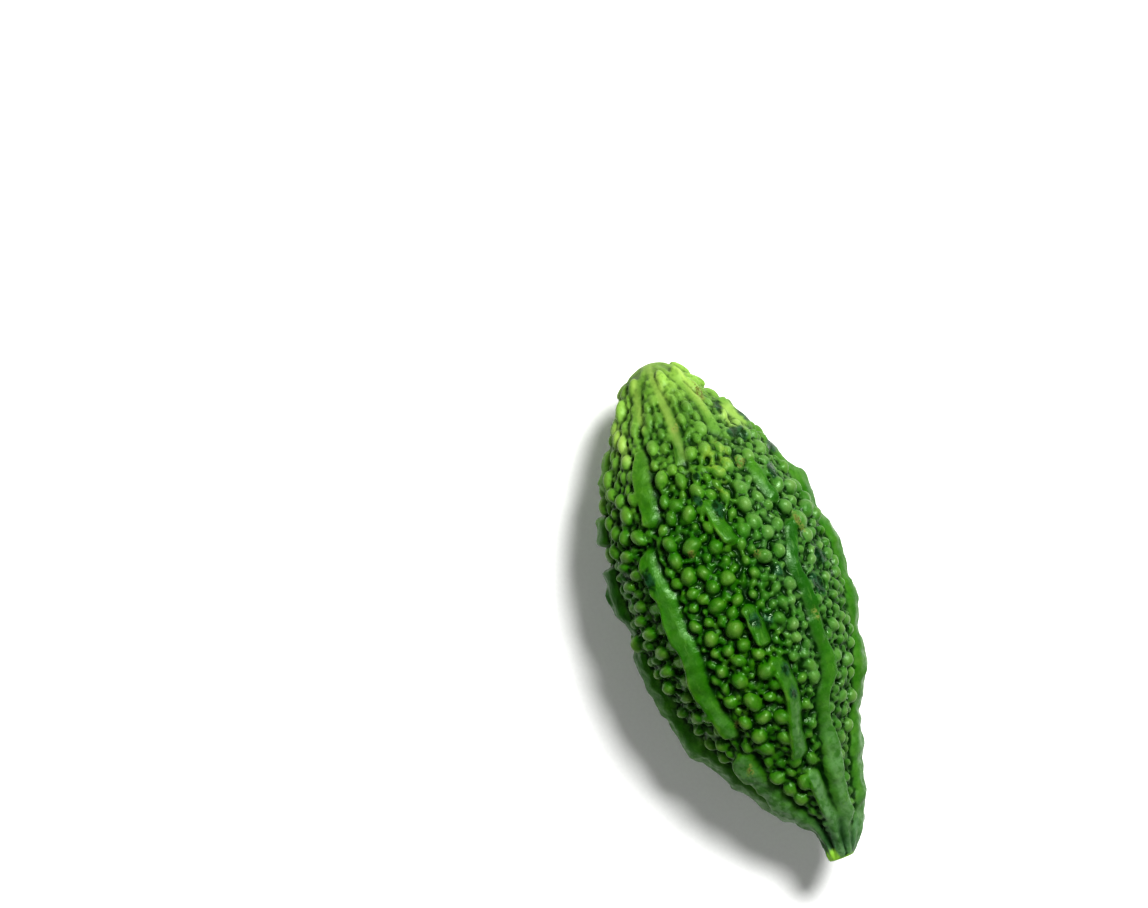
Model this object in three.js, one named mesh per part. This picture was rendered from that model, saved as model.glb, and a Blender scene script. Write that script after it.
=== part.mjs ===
// A bitter gourd as picked, lying on its side on a table: a warty spindle with
// nine lengthwise ridges, a pale rounded blossom end and a short cut stem.
//
// Frame: millimetres, +Z up from the table, +X along the fruit from its
// blossom end to its cut stem, origin under the middle of the fruit.
//
// The skin is one closed surface. A point of it is given by its distance x from
// the blossom end, its angle phi round the fruit (0 at the top, towards +Y) and
// its height over the smooth body. Points are set on every ridge and wart, and
// a map that keeps angles carries them to a ball, where the convex hull joins
// them into even triangles.

import * as THREE from "three";
import { ConvexHull } from "three/addons/math/ConvexHull.js";

// Driving dimensions
const LENGTH = 150;
const CAP = 7; // length of the rounded blossom end
const STEM_RADIUS = 3.7; // at the cut
const FLATNESS = 0.92; // height over width of the smooth body
const AXIS_HEIGHT = 28.6; // of the fattest part's centre over the table
const SIDE_SHIFT = 1.73; // sets the fruit's box evenly about the origin
const SEED = 20417;

// [distance from the blossom end, size]
const BODY_RADIUS = [
  [0, 7.2], [8, 10.2], [18, 16], [32, 23], [48, 27.4], [66, 29],
  [84, 27.8], [102, 22.8], [118, 15.5], [132, 9], [141, 5], [150, STEM_RADIUS],
];
const SIDE_BEND = [
  [0, -2], [6, -2.7], [20, -2.5], [40, -2.5], [65, -1.6], [95, -1.7], [110, -1.7],
  [120, -0.8], [130, 1.2], [137, 2.5], [143, 2.1], [150, 1.3],
];
const SAG = [[0, 3], [30, 0.8], [66, 0], [100, 0.6], [130, 2.4], [150, 3]];
const RIDGE_HEIGHT = [
  [0, 0.2], [6, 0.9], [20, 2.7], [45, 4.4], [100, 4.6], [122, 4.2], [135, 3.2],
  [142, 1.7], [146, 0.8], [150, 0.3],
];
const RIDGE_HALF_WIDTH = [
  [0, 0.8], [6, 1], [20, 1.9], [45, 3.1], [100, 3.3], [120, 3.1], [134, 2.1],
  [143, 1.4], [150, 1.1],
];
const WART_LENGTHENING = [[0, 2.1], [12, 1.8], [25, 1.35], [50, 1.1], [90, 1.05], [150, 1.15]];
const WART_SIZE = [
  [0, 0.6], [12, 0.65], [26, 0.78], [44, 0.92], [56, 1], [112, 1], [140, 0.8], [150, 0.8],
];

// Each ridge's course is [distance, degrees from the top], its gaps are
// [from, to], its bulk is [distance, share of the height, share of the width],
// and lean is how far its crest hangs to the +Y side for its height.
const PLAIN = [[0, 1, 1], [LENGTH, 1, 1]];
const RIDGES = [
  {
    course: [[0, -84], [50, -85], [100, -83], [150, -88]],
    gaps: [[14, 18], [31, 35], [46, 49]],
    bulk: [
      [0, 1, 1], [62, 1, 1], [71, 0.55, 0.8], [79, 1, 1], [97, 1.15, 1.1], [106, 1.3, 1.2],
      [116, 1.05, 1.1], [128, 1.2, 1.2], [136, 0.8, 1], [142, 0.2, 0.8], [150, 0.2, 0.8],
    ],
    lean: -0.2,
  },
  {
    course: [
      [0, -20], [10, -29], [22, -31], [33, -31], [42, -31], [52, -37], [65, -36],
      [85, -35], [100, -37], [108, -38], [115, -45], [130, -51], [150, -56],
    ],
    gaps: [[17, 21], [45, 48], [107.5, 109.5]],
    bulk: [
      [0, 0.8, 1], [20, 0.7, 0.85], [34, 0.7, 1.05], [42, 0.7, 0.7], [48, 0.75, 0.7],
      [65, 0.9, 0.75], [88, 0.9, 0.7], [104, 0.75, 0.6], [114, 0.9, 1.1], [122, 0.85, 1],
      [130, 0.95, 1.4], [137, 0.9, 1.3], [142, 0.6, 1], [150, 0.5, 1],
    ],
    lean: -0.5,
  },
  {
    course: [
      [0, 0], [10, 3], [25, 1], [36, 2], [44, 7], [54, 8], [66, 5], [80, 6], [90, 10],
      [104, 12], [112, 10], [117, 6], [125, 9], [135, 2], [150, 6],
    ],
    gaps: [[31, 40], [57, 71], [86, 87], [119, 120.5]],
    bulk: [
      [0, 0.7, 0.9], [16, 0.55, 0.85], [28, 0.4, 0.75], [36, 0.5, 0.65], [48, 0.75, 0.7],
      [84, 0.85, 0.7], [100, 0.9, 0.75], [112, 0.8, 0.7], [117, 0.8, 0.85], [124, 0.75, 0.7],
      [132, 0.8, 0.8], [140, 0.9, 1.1], [150, 1, 1],
    ],
    lean: -0.3,
  },
  {
    course: [
      [0, 26], [8, 40], [16, 40], [26, 36], [37, 41], [48, 43], [56, 45], [67, 38], [81, 38],
      [98, 42], [104, 37], [112, 33], [120, 32], [128, 28], [134, 25], [141, 30], [150, 42],
    ],
    gaps: [[27, 34], [50, 53]],
    bulk: [
      [0, 0.8, 0.9], [14, 0.6, 1], [26, 0.45, 0.9], [40, 0.6, 0.8], [58, 0.42, 0.75],
      [90, 0.42, 0.75], [98, 0.6, 0.9], [105, 0.4, 0.7], [110, 0.45, 0.7], [119, 0.9, 0.9],
      [128, 0.95, 0.95], [136, 1, 1.2], [150, 1, 1],
    ],
    lean: 0.15,
  },
  {
    course: [[0, 70], [20, 68], [40, 84], [60, 87], [100, 85], [150, 84]],
    gaps: [[10, 15], [28, 31]],
    bulk: [
      [0, 1, 1], [16, 1.1, 1.3], [30, 0.9, 1], [38, 0.6, 0.9], [47, 1, 1.1], [56, 0.6, 0.9],
      [65, 1.05, 1.1], [74, 0.75, 0.9], [80, 1.1, 1.1], [90, 0.7, 1], [97, 1.25, 1.2],
      [104, 0.9, 1], [120, 1.05, 1.1], [132, 1.25, 1.5], [137, 1.45, 1.8], [142, 2.3, 2],
      [146, 2.6, 1.9], [150, 1, 1],
    ],
    lean: 0.2,
  },
  {
    course: [[0, 124], [50, 122], [100, 125], [150, 124]],
    gaps: [[15, 22], [41, 46], [66, 73], [99, 101]],
    bulk: PLAIN,
    lean: 0.1,
  },
  {
    course: [[0, 160], [50, 161], [100, 159], [150, 162]],
    gaps: [[18, 23], [37, 41], [92, 95]],
    bulk: PLAIN,
    lean: 0.1,
  },
  {
    course: [[0, 198], [50, 199], [100, 198], [150, 200]],
    gaps: [[13, 18], [34, 38], [96, 98]],
    bulk: PLAIN,
    lean: -0.1,
  },
  {
    course: [[0, 236], [50, 237], [100, 238], [150, 236]],
    gaps: [[19, 24], [52, 56], [86, 90]],
    bulk: PLAIN,
    lean: -0.1,
  },
];
const GAP_EDGE = 2.8; // over which a ridge falls away at a gap
const GAP_PRESENCE = 0.12; // how much of a ridge is left inside a gap
const LEAST_PRESENCE = 0.35; // below this a ridge has no points of its own
const SHOULDER_REACH = 0.52; // of a ridge's half width, where its flat crest ends
const LOW_SHOULDER = 0.78; // height of the side that the crest doesn't hang over
const RIDGE_FOOT_REACH = 1.04;
const RIDGE_ENDS = [2.2, 146.4];

// Slow waves of a ridge's height and course: [size, length along the fruit over
// 2 pi, what each ridge is ahead of the last]
const CREST_WAVES = [[0.06, 2.3, 1.7], [0.03, 1.1, 2.9]]; // share of the height
const SWAY_WAVES = [[1, 6.1, 2.3], [1, 3.2, 1.1]]; // degrees

// Warts are drawn largest first, each kind into the room that is left.
const WART_KINDS = [
  { draws: 1400, least: 1.8, most: 2.3 },
  { draws: 4200, least: 1.4, most: 1.7 },
  { draws: 5600, least: 1.05, most: 1.3 },
];
const LEAST_WART = 0.9; // radius of the smallest that is made
const WART_ROOM = 1; // distance between two warts over the sum of their radii
const MOST_GROWTH = 1.15; // a wart grows till it meets its neighbour, up to this many times
const WART_ENDS = [4.5, 141]; // where warts begin and end
const WART_HEIGHT = [1.35, 1.85]; // over its radius
const LEAST_RIDGE_ROOM = 0.6; // of a wart's radius, from its centre to a ridge's side
const SLIM_BODY = 3.2; // warts are lower where the body's radius is under this many of theirs
const TIP_RISE = [5, 13]; // warts reach full height at 13 - 5 from the blossom end
const BEAD_SINK = 0.35; // height of a wart's centre over its own height
const SMALL_FIELD = { from: 8, to: 84, start: 62, scale: 0.76 }; // degrees, and distance

// Spacing of the points that the surface is made from
const RIDGE_STEPS = [1.6, 2.5]; // least and most, as the ridge is narrow or wide
const STEP_SHARE = 0.8; // of the ridge's half width
const RIDGE_STAGGER = 0.3; // from one ridge's first point to the next one's
const RING_POINTS = 6;
const RING_REACH = 0.74; // of a wart's radius
const FOOT_REACH = 1.13;
const LEAST_GAP = 1.3; // between two points on the smooth body
const RIDGE_CLEARANCE = 0.1; // of such a point from a ridge's side
const FINE_WART = 1.85; // radius from which a wart gets a ring of points
const TURNED_WART = 2; // radius from which that ring is turned by half a step
const COVER_REACH = 0.98; // of a wart's radius
const STEM_SIDES = 16;
const STEM_RINGS = [[0, 0, 0], [1.2, 0.5, 0.35], [2.7, 0, 0.3]]; // [from the cut, turn, height]
const CUT_LEVEL = 60; // stands for the middle of the cut, which is endlessly far
const MERIDIAN_STEPS = 1500;
const NEAREST_TO_TIP = 0.3; // of a point round a wart

// A smooth curve through stations [x, value].
function smoothCurve(stations) {
  const slope = (i) => {
    const a = stations[Math.max(i - 1, 0)];
    const b = stations[Math.min(i + 1, stations.length - 1)];
    return (b[1] - a[1]) / (b[0] - a[0]);
  };
  return (x) => {
    let i = 0;
    while (i < stations.length - 2 && x > stations[i + 1][0]) i += 1;
    const span = stations[i + 1][0] - stations[i][0];
    const t = Math.min(Math.max((x - stations[i][0]) / span, 0), 1);
    const rise = 1 - t;
    return (
      stations[i][1] * rise * rise * (1 + 2 * t) +
      stations[i + 1][1] * t * t * (3 - 2 * t) +
      span * (slope(i) * t * rise * rise - slope(i + 1) * t * t * rise)
    );
  };
}

// Evenly spread numbers from 0 to 1 that are the same in every run.
function seededDraws(seed) {
  let state = seed >>> 0;
  return () => {
    state = (state + 0x6d2b79f5) >>> 0;
    let mixed = Math.imul(state ^ (state >>> 15), state | 1);
    mixed ^= mixed + Math.imul(mixed ^ (mixed >>> 7), mixed | 61);
    return ((mixed ^ (mixed >>> 14)) >>> 0) / 4294967296;
  };
}

const bodyRadius = smoothCurve(BODY_RADIUS);
const sideBend = smoothCurve(SIDE_BEND);
const sag = smoothCurve(SAG);
const ridgeHeight = smoothCurve(RIDGE_HEIGHT);
const ridgeHalfWidth = smoothCurve(RIDGE_HALF_WIDTH);
const wartLengthening = smoothCurve(WART_LENGTHENING);
const wartSize = smoothCurve(WART_SIZE);
const ridgeCourses = RIDGES.map((ridge) => smoothCurve(ridge.course));
const heightShares = RIDGES.map(({ bulk }) => smoothCurve(bulk.map(([x, share]) => [x, share])));
const widthShares = RIDGES.map(({ bulk }) => smoothCurve(bulk.map(([x, , share]) => [x, share])));

// The side outline from the blossom end to the middle of the cut, as samples of
// distance x, radius, length along the outline, and the angle-keeping height.
function sampleMeridian() {
  const samples = [];
  for (let i = 0; i <= MERIDIAN_STEPS; i += 1) {
    const turn = ((i / MERIDIAN_STEPS) * Math.PI) / 2;
    const x = CAP * (1 - Math.cos(turn));
    samples.push({ x, radius: bodyRadius(x) * Math.sin(turn) });
  }
  for (let i = 1; i <= MERIDIAN_STEPS; i += 1) {
    const x = CAP + ((LENGTH - CAP) * i) / MERIDIAN_STEPS;
    samples.push({ x, radius: bodyRadius(x) });
  }
  for (let i = 1; i <= MERIDIAN_STEPS; i += 1) {
    samples.push({ x: LENGTH, radius: STEM_RADIUS * (1 - i / MERIDIAN_STEPS) });
  }
  samples[0].along = 0;
  samples[0].level = -Infinity;
  samples[1].along = Math.hypot(samples[1].x, samples[1].radius);
  samples[1].level = Math.log(samples[1].along);
  for (let i = 2; i < samples.length; i += 1) {
    const [a, b] = [samples[i - 1], samples[i]];
    const step = Math.hypot(b.x - a.x, b.radius - a.radius);
    b.along = a.along + step;
    b.level = b.radius > 0 ? a.level + (2 * step) / (a.radius + b.radius) : Infinity;
  }
  return samples;
}

const meridian = sampleMeridian();
const rimIndex = 2 * MERIDIAN_STEPS;

// The place on the outline at distance x from the blossom end.
function placeAt(x) {
  let low = 0;
  let high = rimIndex;
  while (high - low > 1) {
    const middle = (low + high) >> 1;
    if (meridian[middle].x > x) high = middle;
    else low = middle;
  }
  const [a, b] = [meridian[low], meridian[high]];
  const part = b.x > a.x ? (x - a.x) / (b.x - a.x) : 0;
  const mix = (key) => a[key] + (b[key] - a[key]) * part;
  const step = Math.hypot(b.x - a.x, b.radius - a.radius);
  return {
    x,
    radius: mix("radius"),
    level: low === 0 ? b.level : mix("level"),
    slopeX: (b.x - a.x) / step,
    slopeRadius: (b.radius - a.radius) / step,
  };
}

// The smooth body's point, outward normal and lengthwise direction there.
function bodyAt(place, phi) {
  const sin = Math.sin(phi);
  const cos = Math.cos(phi);
  const nudge = 0.5;
  const bendSlope = (sideBend(place.x + nudge) - sideBend(place.x - nudge)) / (2 * nudge);
  const sagSlope = (sag(place.x + nudge) - sag(place.x - nudge)) / (2 * nudge);
  const point = new THREE.Vector3(
    place.x - LENGTH / 2,
    sideBend(place.x) + SIDE_SHIFT + place.radius * sin,
    AXIS_HEIGHT - sag(place.x) + FLATNESS * place.radius * cos,
  );
  const lengthwise = new THREE.Vector3(
    place.slopeX,
    bendSlope * place.slopeX + place.slopeRadius * sin,
    -sagSlope * place.slopeX + FLATNESS * place.slopeRadius * cos,
  ).normalize();
  const round = new THREE.Vector3(0, cos, -FLATNESS * sin).normalize();
  const normal = lengthwise.clone().cross(round).normalize();
  return { point, normal, lengthwise, round };
}

// How much of a ridge stands at distance x: 1, falling to 0 inside its gaps.
function ridgePresence(index, x) {
  let presence = 1;
  for (const [from, to] of RIDGES[index].gaps) {
    const outside = Math.max(from - x, x - to, 0) / GAP_EDGE;
    const share = THREE.MathUtils.smoothstep(outside, 0, 1);
    presence = Math.min(presence, THREE.MathUtils.lerp(GAP_PRESENCE, 1, share));
  }
  return presence;
}

function sumWaves(waves, index, x) {
  return waves.reduce((sum, [size, length, ahead]) => sum + size * Math.sin(x / length + ahead * index), 0);
}

function crestHeight(index, x) {
  const height = ridgeHeight(x) * heightShares[index](x) * ridgePresence(index, x);
  return height * (1 + sumWaves(CREST_WAVES, index, x));
}

function crestHalfWidth(index, x) {
  return ridgeHalfWidth(x) * widthShares[index](x) * ridgePresence(index, x);
}

function crestAngle(index, x) {
  return THREE.MathUtils.degToRad(ridgeCourses[index](x) + sumWaves(SWAY_WAVES, index, x));
}

// Distance round the body from a point to the nearest ridge's side, below 0 on the ridge.
function roomToRidges(place, phi) {
  let room = Infinity;
  RIDGES.forEach((_, index) => {
    const turn = phi - crestAngle(index, place.x);
    const apart = Math.abs(Math.atan2(Math.sin(turn), Math.cos(turn))) * place.radius;
    room = Math.min(room, apart - crestHalfWidth(index, place.x));
  });
  return room;
}

// A distance between two body points in which warts are round: lengthwise counts less.
function wartDistance(from, point, lengthening) {
  const gap = point.clone().sub(from.point);
  const along = gap.dot(from.lengthwise);
  const across = Math.sqrt(Math.max(gap.lengthSq() - along * along, 0));
  return Math.hypot(along / lengthening, across);
}

function placeWarts() {
  const draw = seededDraws(SEED);
  const warts = [];
  const [first, last] = WART_ENDS;
  const smallFrom = THREE.MathUtils.degToRad(SMALL_FIELD.from);
  const smallTo = THREE.MathUtils.degToRad(SMALL_FIELD.to);
  for (const kind of WART_KINDS) {
    for (let i = 0; i < kind.draws; i += 1) {
      const x = first + (last - first) * draw();
      const phi = 2 * Math.PI * draw() - Math.PI;
      const size = kind.least + (kind.most - kind.least) * draw();
      const tall = THREE.MathUtils.lerp(...WART_HEIGHT, draw());
      const place = placeAt(x);
      const inSmallField = phi > smallFrom && phi < smallTo && x > SMALL_FIELD.start;
      const radius = size * wartSize(x) * (inSmallField ? SMALL_FIELD.scale : 1);
      const room = roomToRidges(place, phi);
      if (radius < LEAST_WART || room < LEAST_RIDGE_ROOM * radius) continue;
      const body = bodyAt(place, phi);
      const lengthening = wartLengthening(x);
      const crowded = warts.some(
        (wart) => wartDistance(body, wart.body.point, lengthening) < WART_ROOM * (radius + wart.radius),
      );
      if (!crowded) warts.push({ x, phi, radius, tall, body, place, lengthening, room });
    }
  }
  growWarts(warts);
  return warts;
}

// Lets every wart grow till it meets a neighbour or a ridge, and gives it its height.
function growWarts(warts) {
  const growth = warts.map((wart) => {
    let free = wart.room / (LEAST_RIDGE_ROOM * wart.radius);
    for (const other of warts) {
      if (other === wart) continue;
      const apart = wartDistance(wart.body, other.body.point, wart.lengthening);
      free = Math.min(free, apart / (wart.radius + other.radius));
    }
    return THREE.MathUtils.clamp(free, 1, MOST_GROWTH);
  });
  const [tipStart, tipLength] = TIP_RISE;
  warts.forEach((wart, i) => {
    wart.radius *= growth[i];
    const slim = wart.place.radius / (SLIM_BODY * wart.radius);
    wart.height = wart.radius * wart.tall * Math.min(1, slim, (wart.x + tipStart) / tipLength);
  });
}

// Collects the surface's points: where each lies on the ball, and in the fruit.
class SkinPoints {
  constructor() {
    this.onBall = [];
    this.inFruit = [];
    this.footing = [];
    this.middleLevel = placeAt(LENGTH * 0.44).level;
  }

  add(place, phi, height, leanShift = 0) {
    const colatitude = 2 * Math.atan(Math.exp(place.level - this.middleLevel));
    this.onBall.push(
      new THREE.Vector3(
        -Math.cos(colatitude),
        Math.sin(colatitude) * Math.sin(phi),
        Math.sin(colatitude) * Math.cos(phi),
      ),
    );
    const body = bodyAt(place, phi);
    const point = body.point.clone().addScaledVector(body.normal, height);
    point.addScaledVector(body.round, leanShift);
    point.z = Math.max(point.z, 0); // what would reach under the table is flat
    this.inFruit.push(point);
    return body.point;
  }

  // Adds a point of the smooth body unless another is too near.
  addFooting(place, phi, leastGap) {
    const body = bodyAt(place, phi);
    if (this.footing.some((other) => other.distanceTo(body.point) < leastGap)) return;
    this.footing.push(this.add(place, phi, 0));
  }
}

function addEnds(points) {
  points.add({ ...meridian[0], slopeX: 0, slopeRadius: 1 }, 0, 0);
  const middle = { ...meridian[meridian.length - 1], level: CUT_LEVEL, slopeX: 0, slopeRadius: -1 };
  points.add(middle, 0, 0);
  for (const [fromCut, turn, height] of STEM_RINGS) {
    for (let side = 0; side < STEM_SIDES; side += 1) {
      points.add(placeAt(LENGTH - fromCut), (2 * Math.PI * (side + turn)) / STEM_SIDES, height);
    }
  }
}

// Whether a wart covers this point of the smooth body.
function isCovered(body, warts, exceptFor) {
  return warts.some(
    (wart) =>
      wart !== exceptFor &&
      wartDistance(body, wart.body.point, wart.lengthening) < COVER_REACH * wart.radius,
  );
}

function addRidges(points, warts) {
  const [leastStep, mostStep] = RIDGE_STEPS;
  const [start, end] = RIDGE_ENDS;
  RIDGES.forEach((ridge, index) => {
    let x = start + RIDGE_STAGGER * index;
    while (x < end) {
      const place = placeAt(x);
      const halfWidth = crestHalfWidth(index, x);
      if (ridgePresence(index, x) > LEAST_PRESENCE) {
        const height = crestHeight(index, x);
        const angle = crestAngle(index, x);
        for (const side of [-1, 1]) {
          const shoulderAngle = angle + (side * SHOULDER_REACH * halfWidth) / place.radius;
          const shoulder = height * (side === Math.sign(ridge.lean) ? 1 : LOW_SHOULDER);
          points.add(place, shoulderAngle, shoulder, ridge.lean * shoulder);
          const footAngle = angle + (side * RIDGE_FOOT_REACH * halfWidth) / place.radius;
          if (!isCovered(bodyAt(place, footAngle), warts)) {
            points.addFooting(place, footAngle, 0.5 * LEAST_GAP);
          }
        }
      }
      x += THREE.MathUtils.clamp(STEP_SHARE * halfWidth, leastStep, mostStep);
    }
  });
}

function addWarts(points, warts) {
  for (const wart of warts) {
    points.add(wart.place, wart.phi, wart.height);
    if (wart.radius < FINE_WART) continue;
    const fall = BEAD_SINK + (1 - BEAD_SINK) * Math.sqrt(1 - RING_REACH ** 2);
    for (let i = 0; i < RING_POINTS; i += 1) {
      const turn = (2 * Math.PI * (i + (wart.radius > TURNED_WART ? 0.5 : 0))) / RING_POINTS;
      const { place, phi } = roundWart(wart, turn, RING_REACH);
      points.add(place, phi, wart.height * fall);
    }
  }
}

// The place at a turn round a wart, at a share of its radius.
function roundWart(wart, turn, reach) {
  const along = Math.cos(turn) * reach * wart.radius * wart.lengthening;
  const across = Math.sin(turn) * reach * wart.radius;
  const place = placeAt(Math.max(wart.x + along * wart.place.slopeX, NEAREST_TO_TIP));
  return { place, phi: wart.phi + across / wart.place.radius };
}

function addFeet(points, warts) {
  for (const wart of warts) {
    for (let i = 0; i < RING_POINTS; i += 1) {
      const turn = (2 * Math.PI * i) / RING_POINTS;
      const { place, phi } = roundWart(wart, turn, FOOT_REACH);
      if (roomToRidges(place, phi) < RIDGE_CLEARANCE) continue;
      const body = bodyAt(place, phi);
      if (!isCovered(body, warts, wart)) points.addFooting(place, phi, LEAST_GAP);
    }
  }
}

// Joins the points by the convex hull of their places on the ball.
function skinGeometry(points) {
  const order = new Map(points.onBall.map((point, index) => [point, index]));
  const hull = new ConvexHull().setFromPoints(points.onBall);
  const corners = [];
  for (const face of hull.faces) {
    let edge = face.edge;
    do {
      corners.push(order.get(edge.head().point));
      edge = edge.next;
    } while (edge !== face.edge);
  }
  const positions = points.inFruit.flatMap((point) => point.toArray());
  const geometry = new THREE.BufferGeometry();
  geometry.setAttribute("position", new THREE.Float32BufferAttribute(positions, 3));
  geometry.setIndex(corners);
  geometry.computeVertexNormals();
  return geometry;
}

function makeGourd() {
  const points = new SkinPoints();
  const warts = placeWarts();
  addEnds(points);
  addRidges(points, warts);
  addWarts(points, warts);
  addFeet(points, warts);
  const skin = new THREE.MeshStandardMaterial({ color: 0x3f7a1f, roughness: 0.38, metalness: 0 });
  const gourd = new THREE.Mesh(skinGeometry(points), skin);
  gourd.name = "gourd";
  return gourd;
}

const part = new THREE.Group();
part.add(makeGourd());

export default part;
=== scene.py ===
"""A bitter gourd as picked, lying on its side on a pale table: its fine skin, the light and the camera.

Lengths are in millimetres until a mesh is handed over in metres. +X runs along the fruit from its
blossom end to its cut stem and +Z is up. A point of the skin is given by its distance x from the
blossom end, its angle phi round the fruit (0 at the top, towards +Y) and its height over the smooth
body.
"""

import math

import bmesh
import bpy
import numpy as np
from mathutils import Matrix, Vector, kdtree, noise


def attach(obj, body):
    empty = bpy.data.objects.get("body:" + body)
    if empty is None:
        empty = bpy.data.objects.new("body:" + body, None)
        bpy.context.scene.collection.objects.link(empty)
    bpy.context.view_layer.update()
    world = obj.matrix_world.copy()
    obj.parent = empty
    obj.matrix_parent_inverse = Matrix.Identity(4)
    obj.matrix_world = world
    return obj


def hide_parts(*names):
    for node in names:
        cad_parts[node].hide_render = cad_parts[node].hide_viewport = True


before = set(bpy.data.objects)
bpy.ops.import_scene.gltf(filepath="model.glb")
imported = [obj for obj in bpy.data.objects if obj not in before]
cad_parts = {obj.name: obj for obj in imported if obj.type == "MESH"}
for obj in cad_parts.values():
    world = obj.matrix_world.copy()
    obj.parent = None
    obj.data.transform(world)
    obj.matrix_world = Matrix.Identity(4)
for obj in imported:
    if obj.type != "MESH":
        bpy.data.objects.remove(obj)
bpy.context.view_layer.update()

MM = 0.001

# The smooth body: [distance from the blossom end, size]
LENGTH = 150
CAP = 7  # length of the rounded blossom end
STEM_RADIUS = 3.7  # at the cut
FLATNESS = 0.92  # height over width of the smooth body
AXIS_HEIGHT = 28.6  # of the fattest part's centre over the table
SIDE_SHIFT = 1.73  # sets the fruit's box evenly about the origin
SEED = 20417
BODY_RADIUS = [
    (0, 7.2), (8, 10.2), (18, 16), (32, 23), (48, 27.4), (66, 29),
    (84, 27.8), (102, 22.8), (118, 15.5), (132, 9), (141, 5), (150, STEM_RADIUS),
]
SIDE_BEND = [
    (0, -2), (6, -2.7), (20, -2.5), (40, -2.5), (65, -1.6), (95, -1.7), (110, -1.7),
    (120, -0.8), (130, 1.2), (137, 2.5), (143, 2.1), (150, 1.3),
]
SAG = [(0, 3), (30, 0.8), (66, 0), (100, 0.6), (130, 2.4), (150, 3)]
RIDGE_HEIGHT = [
    (0, 0.2), (6, 0.9), (20, 2.7), (45, 4.4), (100, 4.6), (122, 4.2), (135, 3.2),
    (142, 1.7), (146, 0.8), (150, 0.3),
]
RIDGE_HALF_WIDTH = [
    (0, 0.8), (6, 1), (20, 1.9), (45, 3.1), (100, 3.3), (120, 3.1), (134, 2.1),
    (143, 1.4), (150, 1.1),
]
WART_LENGTHENING = [(0, 2.1), (12, 1.8), (25, 1.35), (50, 1.1), (90, 1.05), (150, 1.15)]
WART_SIZE = [
    (0, 0.6), (12, 0.65), (26, 0.78), (44, 0.92), (56, 1), (112, 1), (140, 0.8), (150, 0.8),
]

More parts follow.
